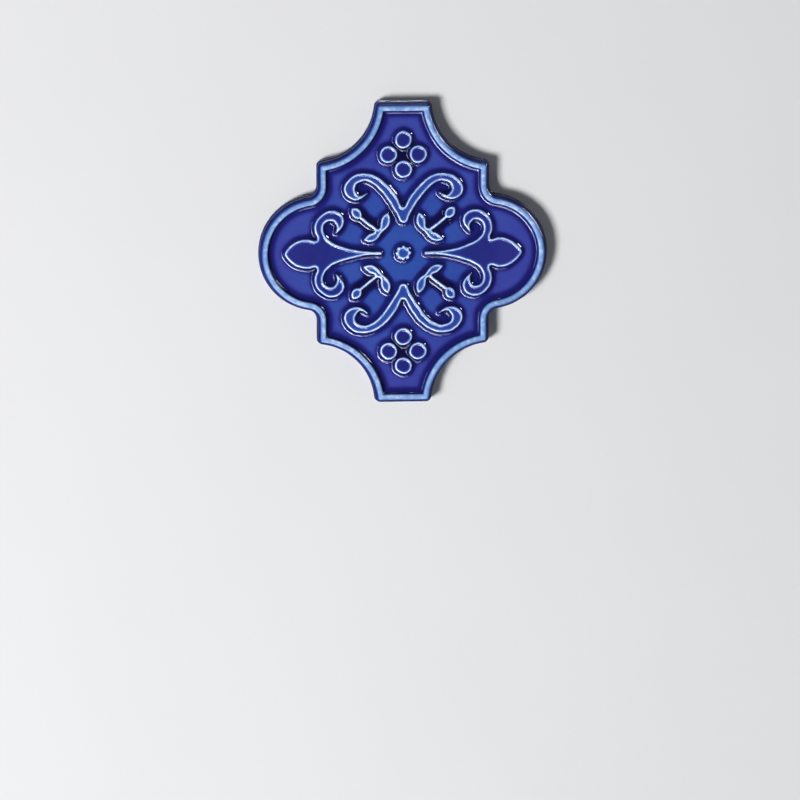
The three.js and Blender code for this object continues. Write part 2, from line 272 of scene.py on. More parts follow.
def straight(start, end, steps):
    """Points between two ends at even steps, without the ends."""
    t = (np.arange(1, steps) / steps)[:, None]
    return np.array(start) * (1 - t) + np.array(end) * t


def turned(points, angle, x, y):
    """Points turned by an angle round the origin, then moved by (x, y)."""
    c, s = math.cos(angle), math.sin(angle)
    p = np.array(points, float)
    return np.stack([p[:, 0] * c - p[:, 1] * s + x, p[:, 0] * s + p[:, 1] * c + y], 1)


def both_sides(half, flip):
    """A closed outline from one half of it: the half, then its mirror image backwards. A flip by (-1, 1)
    makes a left half from a right one, and one by (1, -1) a lower half from an upper one."""
    return np.concatenate([half, half[::-1] * flip])


def quarter_edge(sizes, inset, corner):
    """A quarter of the tile's outline at an inset: half the neck's straight end, a corner, the flare's
    hollow arc, the shoulder corner, a short straight, the hollow waist arc and half the round lobe. A
    hollow arc's radius grows by the inset, and a full one's shrinks by it."""
    half_length, half_width = sizes.length / MM / 2, sizes.width / MM / 2
    neck = np.array([sizes.neck_width / MM / 2, half_length])
    shoulder = np.array([sizes.shoulder_width / MM / 2, sizes.shoulder_length / MM / 2])
    flare, lobe, waist = sizes.flare_radius / MM, sizes.lobe_radius / MM, sizes.waist_radius / MM
    chord = shoulder - neck
    half_chord = np.hypot(*chord) / 2
    across = np.array([-chord[1], chord[0]]) / (2 * half_chord)
    flare_x, flare_y = (neck + shoulder) / 2 + across * math.sqrt(flare**2 - half_chord**2)
    reach = flare + inset + corner
    top = half_length - inset - corner
    neck_x = flare_x - math.sqrt(reach**2 - (top - flare_y) ** 2)
    neck_turn = math.atan2(flare_y - top, flare_x - neck_x)
    side = shoulder[0] - inset - corner
    side_y = flare_y - math.sqrt(reach**2 - (flare_x - side) ** 2)
    side_turn = math.atan2(flare_y - side_y, flare_x - side)
    lobe_x, waist_x = half_width - lobe, shoulder[0] + waist
    waist_y = math.sqrt((lobe + waist) ** 2 - (waist_x - lobe_x) ** 2)
    lobe_turn = math.atan2(waist_y, waist_x - lobe_x)
    middle = np.array([[0, half_length - inset]])
    neck_arc = arc(neck_x, top, corner, math.pi / 2, neck_turn, CORNER_STEPS)
    flare_turns = math.pi + neck_turn, math.pi + side_turn
    flare_arc = arc(flare_x, flare_y, flare + inset, *flare_turns, FLARE_STEPS)
    shoulder_arc = arc(side, side_y, corner, side_turn, 0, CORNER_STEPS)
    waist_arc = arc(waist_x, waist_y, waist + inset, math.pi, math.pi + lobe_turn, WAIST_STEPS)
    lobe_arc = arc(lobe_x, 0, lobe - inset, lobe_turn, 0, LOBE_STEPS)
    return np.concatenate([
        middle, straight(middle[0], neck_arc[0], NECK_STEPS), neck_arc, flare_arc[1:-1], shoulder_arc,
        straight(shoulder_arc[-1], waist_arc[0], STRAIGHT_STEPS), waist_arc, lobe_arc[1:],
    ])


def tile_edge(sizes, inset):
    """The tile's closed outline at an inset, clockwise from the top: a quarter and its three mirror
    images. A corner's radius shrinks with the inset to a small one, and opens again past the crest, where
    the glaze pools."""
    corner = max(sizes.corner_radius / MM - inset, LEAST_CORNER)
    corner += CORNER_OPENING * max(inset - CORNER_OPENS, 0)
    quarter = quarter_edge(sizes, inset, corner)
    return np.concatenate([
        quarter, quarter[-2::-1] * [1, -1], quarter[1:] * [-1, -1], quarter[-2:0:-1] * [-1, 1],
    ])


def outline_distance(points, loop):
    """For each point, how far it lies inside a closed line, negative outside, the direction in which that
    grows, and how much line lies close by. The distance is the least one to the line's spans, and a point
    is inside where a ray from it crosses the line an odd number of times. The closeness adds up the
    spans' lengths under a bell curve of the distance, so that it is greatest in pockets and curls."""
    span = np.roll(loop, -1, 0) - loop
    keep = np.hypot(span[:, 0], span[:, 1]) > NO_LENGTH
    start, span = loop[keep], span[keep]
    length = np.hypot(span[:, 0], span[:, 1])
    climb = np.where(np.abs(span[:, 1]) < NO_RISE, 1, span[:, 1])
    inside, growth, close = np.zeros(len(points)), np.zeros((len(points), 2)), np.zeros(len(points))
    for first in range(0, len(points), BATCH):
        batch = slice(first, first + BATCH)
        p = points[batch]
        away = p[:, None, :] - start[None]
        t = np.clip((away * span).sum(2) / length**2, 0, 1)
        gap = away - t[..., None] * span
        square = (gap**2).sum(2)
        nearest = square.argmin(1)
        rows = np.arange(len(p))
        x, y = p[:, 0][:, None], p[:, 1][:, None]
        rises = (start[:, 1] <= y) != (start[:, 1] + span[:, 1] <= y)
        right = x < start[:, 0] + (y - start[:, 1]) / climb * span[:, 0]
        odd = (rises & right).sum(1) % 2 == 1
        distance = np.sqrt(square[rows, nearest]) * np.where(odd, 1, -1)
        divisor = np.where(np.abs(distance) < NO_LENGTH, 1, distance)
        inside[batch] = distance
        growth[batch] = gap[rows, nearest] / divisor[:, None]
        close[batch] = (length * np.exp(-square / (2 * POOL_REACH**2))).sum(1)
    return inside, growth, close / (POOL_REACH * math.sqrt(2 * math.pi))


def ornament():
    """The raised motifs that touch the first quarter, each as its name and its closed outline."""
    scroll = np.concatenate([spline(SCROLL_OUTSIDE, LINE_STEPS), spline(SCROLL_INSIDE, LINE_STEPS)[1:]])
    curl, petal = spline(FLEUR_CURL, LINE_STEPS)[1:], spline(FLEUR_PETAL, LINE_STEPS)[1:]
    fleur = np.concatenate([spline(FLEUR_STEM, LINE_STEPS), curl, petal])
    lower, upper = spline(LEAF_LOWER, LEAF_STEPS)[1:], spline(LEAF_UPPER, LEAF_STEPS)[1:]
    leaves = np.concatenate([spline(LEAVES_BACK, LEAF_STEPS), lower, upper])
    angle = math.radians(STEM_ANGLE)
    half = STEM_WIDTH / 2
    stem = turned([(0, -half), (STEM_LENGTH, -half), (STEM_LENGTH, half), (0, half)], angle, *STEM_START)
    reach = STEM_LENGTH - BUD_SINK
    bud_at = (STEM_START[0] + reach * math.cos(angle), STEM_START[1] + reach * math.sin(angle))
    bud = turned(both_sides(spline(BUD_SIDE, LEAF_STEPS), (1, -1)), angle + math.radians(BUD_LEAN), *bud_at)
    discs = [arc(x, y, DISC_RADIUS, 0, 2 * math.pi, DISC_STEPS)[:-1] for x, y in DISC_SPOTS]
    turn = np.arange(ROSETTE_POINTS * ROSETTE_STEPS) / ROSETTE_STEPS
    swing = (1 + np.cos(2 * math.pi * turn)) / 2
    radius = ROSETTE_VALLEY + (ROSETTE_RADIUS - ROSETTE_VALLEY) * swing**ROSETTE_SHARPNESS
    spin = turn * 2 * math.pi / ROSETTE_POINTS
    rosette = np.stack([radius * np.cos(spin), radius * np.sin(spin)], 1)
    return [
        ("scroll", both_sides(scroll, (-1, 1))), ("fleur", both_sides(fleur, (1, -1))), ("leaves", leaves),
        ("stem", stem), ("bud", bud), *(("disc", disc) for disc in discs), ("rosette", rosette),
    ]


def relief(points):
    """Height over the field, distance inside the nearest outline, its direction, how close the outlines
    are and the glaze's depth in the hollow, for points of the first quarter. The nearest outline is the
    one with the greatest distance inside. The height sums up the wall's slope along that distance."""
    motifs = ornament()
    found = [outline_distance(points, outline) for _, outline in motifs]
    inside, growth, close = (np.stack(part) for part in zip(*found))
    depths, shares = np.array([HOLLOWS[name] for name, _ in motifs]).T
    reach = np.hypot(*points.T)
    rounded = smooth(reach, *ROSETTE_EASE)
    star = inside[-1] * (1 - rounded) + (ROSETTE_ROUND - reach) * rounded
    dish = ROSETTE_RIDGE + np.maximum(ROSETTE_DISH - reach, 0)
    inside[-1] = np.where(star > ROSETTE_RIDGE, dish, star)
    nearest = inside.argmax(0)
    rows = np.arange(len(points))
    s = inside[nearest, rows]
    at = np.linspace(WALL_SLOPE[0][0], WALL_SLOPE[-1][0], WALL_STEPS)
    slope = np.interp(at, *zip(*WALL_SLOPE))
    rise = np.concatenate([[0], np.cumsum((slope[1:] + slope[:-1]) / 2 * np.diff(at))])
    height = np.interp(s, at, rise) * shares[nearest]
    return height, s, growth[nearest, rows], close.sum(0), depths[nearest]


def lattice(sizes, step):
    """Points of an even triangular lattice over the first quarter, every other row half a step aside."""
    rows = np.arange(0, sizes.length / MM / 2, step * math.sqrt(3) / 2)
    columns = np.arange(0, sizes.width / MM / 2 + step, step)
    x, y = np.meshgrid(columns, rows)
    x = x + step / 2 * (np.arange(len(rows)) % 2)[:, None]
    return np.stack([x.ravel(), y.ravel()], 1)


def field_points(sizes, edge_inset):
    """Points of the first quarter for the field's mesh: an even triangular lattice, kept fine beside an
    outline and coarse elsewhere. A fine point slides to the nearest of a few distances from the outline,
    so that the mesh has lines along each wall, ridge and foot."""
    fine, coarse = sizes.fine_step / MM, sizes.coarse_step / MM
    edge = tile_edge(sizes, edge_inset)
    band = lattice(sizes, fine)
    band = band[outline_distance(band, edge)[0] > FINE_GAP]
    _, s, growth, _, _ = relief(band)
    keep = (s > LEVELS[0] - FINE_MARGIN) & (s < LEVELS[-1] + FINE_MARGIN)
    band, s, growth = band[keep], s[keep], growth[keep]
    level = LEVELS[np.abs(s[:, None] - LEVELS).argmin(1)]
    band = band + growth * (level - s)[:, None]
    wide = lattice(sizes, coarse)
    wide = wide[outline_distance(wide, edge)[0] > COARSE_GAP]
    s = relief(wide)[1]
    wide = wide[(s < LEVELS[0] - COARSE_MARGIN) | (s > LEVELS[-1] + COARSE_MARGIN)]
    points = np.concatenate([band, wide])
    points[np.abs(points) < fine * AXIS_SHARE] = 0
    return np.unique(np.round(np.abs(points), DECIMALS), axis=0)


def mirrored(points, values):
    """A quarter's points and their values on all four quarters, each point of an axis once."""
    x, y = points[:, 0], points[:, 1]
    sides = [(1, 1, x >= 0), (-1, 1, x > 0), (1, -1, y > 0), (-1, -1, (x > 0) & (y > 0))]
    return (
        np.concatenate([points[keep] * [across, along] for across, along, keep in sides]),
        np.concatenate([values[keep] for _, _, keep in sides]),
    )


def glaze_waves(x, y):
    """Slow unevenness of the fired face, in millimetres: sine waves of different length and direction."""
    return sum(height * np.sin(a * x + b * y + start) for height, a, b, start in WAVES)


def wander(points):
    """Small sideways shifts that leave no two motifs quite alike, in millimetres: sine waves over the
    plan, shifted along and across by different phases."""
    x, y = points[:, 0], points[:, 1]
    waves = [(k, size, a * x + b * y) for k, (size, a, b) in enumerate(WANDER)]
    along = sum(size * np.sin(turn + WANDER_ALONG * k) for k, size, turn in waves)
    across = sum(size * np.cos(WANDER_TURN * turn + WANDER_ACROSS * k) for k, size, turn in waves)
    return np.stack([along, across], 1)


def rim_rings(sizes, section):
    """The tile's outline at each point of the rim's section, the places of all these rings' points, and
    the depth of the glaze there. It follows the inset on the crest, and is even on the side, apart from
    the ledge at the necks."""
    rings = [tile_edge(sizes, inset) for inset, _ in section]
    rim = [np.column_stack([ring, np.full(len(ring), height)]) for ring, (_, height) in zip(rings, section)]
    rim = np.concatenate(rim)
    depth = np.repeat(np.interp(section[:, 0], *zip(*RIM_DEPTH)), len(rings[0]))
    height = rim[:, 2]
    at_neck = np.abs(rim[:, 0]) < sizes.neck_width / MM / 2 - LEDGE_SHORT
    ledge = (height > LEDGE_FOOT) & (height < LEDGE_TOP) & at_neck
    depth = np.where(height < SIDE_TOP, np.where(ledge, LEDGE_DEPTH, SIDE_DEPTH), depth)
    return rings, rim, depth


def field_relief(sizes, edge_inset, floor):
    """The field's points on all four quarters, with their heights and depths of glaze. The glaze is
    deeper the closer the lines are, amid the discs and beside the rim, and shallow over a raised line's
    edge. Low on a raised line's wall and at its foot, painted shade is added as extra depth."""
    quarter = field_points(sizes, edge_inset)
    rise, s, _, close, hollow = relief(quarter)
    inset = outline_distance(quarter, tile_edge(sizes, 0))[0]
    pool = sum((deeper * smooth(close, low, high) for deeper, low, high in POOLS), FIELD_DEPTH)
    amid = np.hypot(quarter[:, 0], quarter[:, 1] - DISC_SPOTS[0][1])
    pool = pool + DISC_POOL * smooth(amid, *DISC_POOL_FADE)
    at_rim = np.interp(inset, *zip(*RIM_DEPTH)) - RIM_DEPTH[-1][1]
    pool = pool + at_rim * (1 - smooth(close, *RIM_POOL_FADE))
    body = pool * (1 - smooth(s, *HOLLOW_FADE)) + hollow * smooth(s, *HOLLOW_FADE)
    # The last term is painted shade: extra depth that darkens the lower wall and the foot of a raised line
    depth = body * np.interp(s, *zip(*EDGE_DEPTH)) + np.interp(s, *zip(*WALL_SHADE_DEPTH))
    values = np.stack([rise + floor, depth, smooth(inset, *WANDER_FADE)], 1)
    points, values = mirrored(quarter, values)
    return points + wander(points) * values[:, 2:], values[:, 0], values[:, 1]


def flat_mesh(outline, inner, up):
    """Triangles that fill a closed outline through its points and the inner ones, and face up or down.
    Returns their points, the triangles, and for each point its number among the outline's points and the
    inner ones."""
    numbers = np.arange(len(outline))
    edges = np.stack([numbers, np.roll(numbers, -1)], 1).tolist()
    given = [Vector(p) for p in np.concatenate([outline, inner])]
    found = delaunay_2d_cdt(given, edges, [], FILL_INSIDE, MERGE)
    points, triangles = np.array([tuple(v) for v in found[0]]), np.array(found[2])
    source = np.array([origins[0] for origins in found[3]])
    a, b, c = (points[triangles[:, k]] for k in range(3))
    turn = (b[:, 0] - a[:, 0]) * (c[:, 1] - a[:, 1]) - (b[:, 1] - a[:, 1]) * (c[:, 0] - a[:, 0])
    wrong = turn < 0 if up else turn > 0
    triangles[wrong] = triangles[wrong][:, ::-1]
    return points, triangles, source


def ring_faces(rings, stations):
    """A quad between each two neighbours on a ring and those on the next ring, facing outward."""
    row, column = np.meshgrid(np.arange(rings - 1) * stations, np.arange(stations), indexing="ij")
    onward = (column + 1) % stations
    above = row + stations
    return np.stack([row + column, above + column, above + onward, row + onward], -1).reshape(-1, 4)


def ring_coats(section):
    """The material of each row of faces up the rim: bare at the bed's edge, dry up the side apart from
    the ledge, and glazed from the outer shoulder on."""
    height = section[:, 1]
    coats = np.where(np.arange(len(height) - 1) < np.argmax(height > DRY_TOP), DRY, GLAZED)
    coats[(height[:-1] > LEDGE_FOOT) & (height[1:] < LEDGE_TOP)] = GLAZED
    coats[0] = BARE
    return coats


def baking_map(sizes, places, stations, quads, field, bed):
    """Places on the baking map of all faces' corners: the side unrolled, with a column for each of its
    rows, the crest and the field seen from above, and the bed seen from below."""
    side_rows = len(BED_EDGE) + len(SIDE)
    across = np.linspace(*SIDE_ACROSS, side_rows + 1)
    along = np.arange(stations + 1) / stations * SIDE_SCALE + SIDE_START
    grid = np.stack(np.meshgrid(across, along, indexing="ij"), -1)
    side = np.stack([grid[:-1, :-1], grid[1:, :-1], grid[1:, 1:], grid[:-1, 1:]], 2)
    flat = places[:, :2] / (sizes.length / MM + MAP_ROOM) + 0.5
    plan, back = flat * PLAN_SCALE + PLAN_CORNER, flat * BACK_SCALE + BACK_CORNER
    crest = quads[side_rows * stations:]
    return np.concatenate([side.reshape(-1, 2), plan[crest.ravel()], plan[field.ravel()], back[bed.ravel()]])


def linked(name, data):
    """An object in the scene that shows a mesh, a light or a camera."""
    made = bpy.data.objects.new(name, data)
    bpy.context.scene.collection.objects.link(made)
    return made


def make_mesh(name, places, faces, materials, slots, depth, corners):
    """A mesh object at the origin, from places in millimetres."""
    mesh = bpy.data.meshes.new(name)
    mesh.from_pydata((places * MM).tolist(), [], faces)
    for material in materials:
        mesh.materials.append(material)
    mesh.polygons.foreach_set("material_index", slots.astype(np.int32))
    mesh.polygons.foreach_set("use_smooth", np.ones(len(faces), bool))
    layer = mesh.attributes.new(DEPTH, "FLOAT", "POINT")
    layer.data.foreach_set("value", depth.astype(np.float32))
    uv = mesh.uv_layers.new(name=MAP)
    uv.data.foreach_set("uv", corners.astype(np.float32).ravel())
    mesh.update()
    mesh.validate()
    return linked(name, mesh)


def build_tile(sizes, coats):
    """The whole tile as one closed surface. The rim's section is carried round the outline as rings of
    the same number of points. The field inside it, ornament and all, is a height over its points, and the
    flat bed closes the back."""
    section = np.concatenate([BED_EDGE, SIDE, spline(CREST, CREST_STEPS)])
    rings, rim, rim_depth = rim_rings(sizes, section)
    stations = len(rings[0])
    points, heights, depths = field_relief(sizes, *section[-1])
    flat, triangles, source = flat_mesh(rings[-1], points, True)
    added = source >= stations
    number = np.where(added, len(rim) + np.cumsum(added) - 1, len(rim) - stations + source)
    shown = source[added] - stations
    places = np.concatenate([rim, np.column_stack([flat[added], heights[shown]])])
    depth = np.concatenate([rim_depth, depths[shown]])
    waves = glaze_waves(places[:, 0], places[:, 1]) * smooth(places[:, 2], *WAVE_FADE)
    places[:, 2] += np.minimum(waves, WAVE_SHARE * (THICKNESS - places[:, 2]).clip(0))
    _, bed, bed_source = flat_mesh(rings[0], np.empty((0, 2)), False)
    quads, field, bed = ring_faces(len(rings), stations), number[triangles], bed_source[bed]
    faces = quads.tolist() + field.tolist() + bed.tolist()
    slots = [np.repeat(ring_coats(section), stations), np.full(len(field), GLAZED), np.full(len(bed), BARE)]
    corners = baking_map(sizes, places, stations, quads, field, bed)
    return make_mesh("glazed_tile", places, faces, coats, np.concatenate(slots), depth, corners)


def feed(tree, socket, value):
    """Joins another node's output to a socket, or sets the socket to a number, a vector or a colour."""
    if isinstance(value, bpy.types.NodeSocket):
        tree.links.new(value, socket)
    elif socket.type == "RGBA":
        socket.default_value = (*value, 1)
    else:
        socket.default_value = value


def node(tree, kind, inputs=(), **settings):
    """A shader node with its own settings, and with values for its inputs, by their names or numbers."""
    made = tree.nodes.new(kind)
    for name, value in settings.items():
        setattr(made, name, value)
    for name, value in dict(inputs).items():
        feed(tree, made.inputs[name], value)
    return made


def noise(tree, coords, scale, detail=2, roughness=0.5):
    """Soft noise of so many blobs a metre."""
    inputs = {"Vector": coords, "Scale": scale, "Detail": detail, "Roughness": roughness}
    return node(tree, "ShaderNodeTexNoise", inputs).outputs["Fac"]


def mathed(tree, operation, *values, clamp=False):
    """The result of a math node, whose values are numbers or outputs."""
    return node(tree, "ShaderNodeMath", enumerate(values), operation=operation, use_clamp=clamp).outputs[0]


def ranged(tree, value, start, end):
    """A value carried from the range start to the range end, with smooth ends."""
    inputs = {"Value": value, "From Min": start[0], "From Max": start[1], "To Min": end[0], "To Max": end[1]}
    return node(tree, "ShaderNodeMapRange", inputs, interpolation_type="SMOOTHSTEP").outputs["Result"]


def mixed(tree, amount, first, second):
    """Two colours mixed by an amount."""
    made = node(tree, "ShaderNodeMix", data_type="RGBA")
    sockets = {socket.identifier: socket for socket in (*made.inputs, *made.outputs)}
    for name, value in (("Factor_Float", amount), ("A_Color", first), ("B_Color", second)):
        feed(tree, sockets[name], value)
    return sockets["Result_Color"]


def bumped(tree, height, strength, distance):
    """The direction of a surface roughened by a height, at so many metres to the height's unit."""
    inputs = {"Strength": strength, "Distance": distance, "Height": height}
    return node(tree, "ShaderNodeBump", inputs).outputs["Normal"]


def lay_out(tree):
    """Places each node a column left of the furthest one that it feeds, in the column's next row."""
    column = dict.fromkeys(tree.nodes.keys(), 0)
    for _ in column:
        for joint in tree.links:
            source, target = joint.from_node.name, joint.to_node.name
            column[source] = max(column[source], column[target] + 1)
    row = dict.fromkeys(column.values(), 0)
    for made in tree.nodes:
        place = column[made.name]
        made.location = (-COLUMN_WIDTH * place, -ROW_HEIGHT * row[place])
        row[place] += 1


def new_material(name):
    """An empty material. Returns it, its tree and the object coordinates that its patterns follow."""
    material = bpy.data.materials.new(name)
    material.use_nodes = True
    tree = material.node_tree
    tree.nodes.clear()
    return material, tree, node(tree, "ShaderNodeTexCoord").outputs["Object"]


def surface(tree, inputs):
    """Ends a material's tree in a principled shader with these inputs, and lays out its nodes."""
    shader = node(tree, "ShaderNodeBsdfPrincipled", inputs)
    node(tree, "ShaderNodeOutputMaterial", {"Surface": shader.outputs["BSDF"]})
    lay_out(tree)


def clouded(tree, coords, depth, drift):
    """The glaze's depth with cloudy drifts, and with fine flecks where it is thin. Each is a noise less
    its middle value, times how much it sways the depth."""
    cloud = mathed(tree, "MULTIPLY_ADD", drift, 0.13, -0.065)
    fleck_sway = ranged(tree, depth, (0.08, 0.4), (0.32, 0.05))
    fleck_middle = mathed(tree, "MULTIPLY", fleck_sway, -0.5)
    fleck = mathed(tree, "MULTIPLY_ADD", noise(tree, coords, FLECKS), fleck_sway, fleck_middle)
    sway = mathed(tree, "ADD", cloud, fleck)
    return mathed(tree, "ADD", depth, sway, clamp=True)


def depth_colour(tree, looks, depth):
    """The glaze's colour for its depth, from a ramp of all its colours."""
    ramp = node(tree, "ShaderNodeValToRGB", {"Fac": depth})
    while len(ramp.color_ramp.elements) < len(GLAZE_STOPS):
        ramp.color_ramp.elements.new(0.5)
    for element, (place, name) in zip(ramp.color_ramp.elements, GLAZE_STOPS):
        element.position = place
        element.color = (*getattr(looks, name), 1)
    return ramp.outputs["Color"]


def tinted(tree, looks, coords, depth, colour):
    """The colour turned greener towards the tile's middle and more violet towards its ends, where the
    glaze is neither thin nor pooled."""
    from_middle = node(tree, "ShaderNodeVectorMath", {0: coords}, operation="LENGTH").outputs["Value"]
    unpooled = ranged(tree, depth, (0.52, 0.72), (1, 0.1))
    near = ranged(tree, from_middle, (0.006, 0.045), (1, 0))
    near_plain = ranged(tree, depth, (0.35, 0.5), (0, 0.6))
    near_even = mathed(tree, "MULTIPLY", near_plain, unpooled)
    green = mixed(tree, mathed(tree, "MULTIPLY", near, near_even), colour, looks.middle)
    uneven = mathed(tree, "MULTIPLY_ADD", noise(tree, coords, TINTS), 0.03, from_middle)
    far = ranged(tree, uneven, (0.05, 0.075), (0, 0.45))
    far_plain = ranged(tree, depth, (0.4, 0.5), (0, 1))
    far_even = mathed(tree, "MULTIPLY", far_plain, unpooled)
    return mixed(tree, mathed(tree, "MULTIPLY", far, far_even), green, looks.violet)


def specks(tree, coords):
    """1 in a few small dots and 0 elsewhere: the middles of Voronoi cells whose random number is high."""
    cells = node(tree, "ShaderNodeTexVoronoi", {"Vector": coords, "Scale": SPECKS})
    dot = ranged(tree, cells.outputs["Distance"], (0.03, 0.07), (1, 0))
    rare = mathed(tree, "GREATER_THAN", cells.outputs["Color"], 0.8)
    return mathed(tree, "MULTIPLY", dot, rare)


def glaze_material(looks):
    """Cobalt glaze: its colour follows the depth that it has run to, pale where it drew off an edge and
    near black where it pooled. It is smoothest where it is deep and mirrors most over an edge, and it has
    a faint swell and grain, with pinholes at its specks."""
    material, tree, coords = new_material("cobalt_glaze")
    depth = node(tree, "ShaderNodeAttribute", attribute_name=DEPTH).outputs["Fac"]
    drift = noise(tree, coords, CLOUDS, 3)
    colour = depth_colour(tree, looks, clouded(tree, coords, depth, drift))
    colour = tinted(tree, looks, coords, depth, colour)
    speck = specks(tree, coords)
    colour = mixed(tree, mathed(tree, "MULTIPLY", speck, 0.6), colour, looks.deep)
    drawn = ranged(tree, depth, (0.08, 0.45), (looks.dry, 0))
    dull = mathed(tree, "ADD", drawn, looks.roughness)
    height = mathed(tree, "MULTIPLY_ADD", noise(tree, coords, GRAIN, 3), 0.06, noise(tree, coords, SWELL))
    pinned = mathed(tree, "MULTIPLY_ADD", speck, -0.3, height)
    surface(tree, {
        "Base Color": colour, "Roughness": mathed(tree, "MULTIPLY_ADD", drift, 0.08, dull), "IOR": 1.8,
        "Normal": bumped(tree, pinned, 0.3, 0.0004),
        "Specular IOR Level": ranged(tree, depth, (0.04, 0.14), (0.42, 0.12)),
    })
    return material


def side_material(looks):
    """The thin, drier coat on the tile's side and outer shoulder: dark blue with faint upright runs, and
    hardly any shine towards the shoulder."""
    material, tree, coords = new_material("dry_side_glaze")
    upright = node(tree, "ShaderNodeMapping", {"Vector": coords, "Scale": (1, 1, 0.15)}).outputs["Vector"]
    runs = noise(tree, upright, 260, 3)
    share = ranged(tree, runs, (0.3, 0.7), (0, 0.8))
    height = node(tree, "ShaderNodeSeparateXYZ", {0: coords}).outputs["Z"]
    surface(tree, {
        "Base Color": mixed(tree, share, looks.side_deep, looks.side), "Roughness": 0.4, "IOR": 1.5,
        "Normal": bumped(tree, runs, 0.3, 0.0002),
        "Specular IOR Level": ranged(tree, height, (0.0065, 0.0078), (0.3, 0.04)),
    })
    return material


def biscuit_material(looks):
    """Bare fired clay on the bed: warm white, dusty, with fine grains."""
    material, tree, coords = new_material("bare_biscuit")
    dust = ranged(tree, noise(tree, coords, 60, 4), (0.35, 0.7), (0, 0.5))
    surface(tree, {
        "Base Color": mixed(tree, dust, looks.clay, looks.clay_dust), "Roughness": 0.9, "IOR": 1.4,
        "Normal": bumped(tree, noise(tree, coords, 1500, 4, 0.6), 0.4, 0.0003),
    })
    return material


def floor_material(looks):
    """Plain matt floor, pale, with a barely seen unevenness."""
    material, tree, coords = new_material("pale_floor")
    share = ranged(tree, noise(tree, coords, 9, 3), (0.3, 0.7), (0, 0.25))
    colour = mixed(tree, share, looks.floor, looks.floor_shade)
    surface(tree, {"Base Color": colour, "Roughness": 0.85, "Specular IOR Level": 0.1})
    return material


def plane_mesh(name, side, material):
    """A square on the ground, its four corners at plus and minus half the side."""
    corner = np.array([(-1, -1), (1, -1), (1, 1), (-1, 1)], float) * side / 2
    mesh = bpy.data.meshes.new(name)
    mesh.from_pydata(np.column_stack([corner, np.zeros(4)]).tolist(), [], [(0, 1, 2, 3)])
    mesh.materials.append(material)
    return linked(name, mesh)


def towards_camera(stage):
    """The direction from the tile to the camera."""
    return Vector((-math.tan(stage.tilt_left), math.tan(stage.tilt_up), 1)).normalized()


def place_camera(stage):
    """The camera looks down along the photo's tilt. It stands so far back, and so far from straight over
    the tile, that the tile has its size and its pixel in the photo's frame."""
    data = bpy.data.cameras.new("camera")
    data.lens = stage.lens
    data.clip_start, data.clip_end = CLIP
    away = stage.lens / data.sensor_width * PHOTO_SIDE / PIXELS_PER_MM * MM
    back = towards_camera(stage)
    level = Vector((0, 1, 0)).cross(back).normalized()
    right = Matrix.Rotation(-stage.roll, 3, back) @ level
    up = back.cross(right)
    aside = (PHOTO_SIDE / 2 - TILE_PIXEL[0]) / PIXELS_PER_MM * MM
    below = (TILE_PIXEL[1] - PHOTO_SIDE / 2) / PIXELS_PER_MM * MM
    place = Vector((0, 0, CAD_BOX[1][2])) + back * away + right * aside + up * below
    camera = linked("camera", data)
    camera.matrix_world = Matrix.Translation(place) @ Matrix((right, up, back)).transposed().to_4x4()
    bpy.context.scene.camera = camera


def facing(turn, height):
    """The direction with a turn from +X and a height over the floor, in degrees."""
    turn, height = math.radians(turn), math.radians(height)
    return Vector((math.cos(turn) * math.cos(height), math.sin(turn) * math.cos(height), math.sin(height)))


def soft_light(name, back, away, size, power, colour=(1, 1, 1), diffuse=True, glossy=True):
    """A rectangular light that faces the tile from a direction. It can light only matt surfaces, or show
    only as a highlight in glossy ones."""
    data = bpy.data.lights.new(name, "AREA")
    data.shape = "RECTANGLE"
    data.size, data.size_y = size
    data.energy, data.color = power, colour
    light = linked(name, data)
    light.rotation_euler = back.to_track_quat("Z", "Y").to_euler()
    light.location = back * away
    light.visible_diffuse, light.visible_glossy = diffuse, glossy


def mirrored_light(name, stage, turn, slope, size, power, colour):
    """A light that shows only as a highlight, where the glaze slopes by so much towards that turn: the
    direction to the camera mirrored at such a slope."""
    face, eye = facing(turn, 90 - slope), towards_camera(stage)
    soft_light(name, 2 * face.dot(eye) * face - eye, GLINT_AWAY, size, power, colour, diffuse=False)


def room_light(stage):
    """Light from all round: soft from the sides, down to the floor, and dim from overhead, where the
    camera stands."""
    world = bpy.data.worlds.new("room")
    world.use_nodes = True
    tree = world.node_tree
    coords = node(tree, "ShaderNodeTexCoord").outputs["Generated"]
    height = node(tree, "ShaderNodeSeparateXYZ", {0: coords}).outputs["Z"]
    background = tree.nodes["Background"]
    feed(tree, background.inputs["Color"], ROOM_COLOUR)
    strength = ranged(tree, height, (0.6, 0.9), (stage.fill, stage.overhead))
    feed(tree, background.inputs["Strength"], strength)
    lay_out(tree)
    return world


def colour_property(name, text, default):
    """A colour with its name, description and default."""
    return FloatVectorProperty(
        name=name, description=text, subtype="COLOR", size=3, min=0, max=1, default=default)


def length_property(name, text, default):
    """A length in metres with its name, description and default."""
    return FloatProperty(name=name, description=text, default=default, min=0, unit="LENGTH", precision=4)


def angle_property(name, text, degrees):
    """An angle with its name, description and default."""
    return FloatProperty(name=name, description=text, default=math.radians(degrees), subtype="ANGLE")


def power_property(name, text, default):
    """A light's power in watts with its name, description and default."""
    return FloatProperty(name=name, description=text, default=default, min=0, unit="POWER")


def share_property(name, text, default):
    """A number from 0 to 1 with its name, description and default."""
    return FloatProperty(name=name, description=text, default=default, min=0, max=1, subtype="FACTOR")


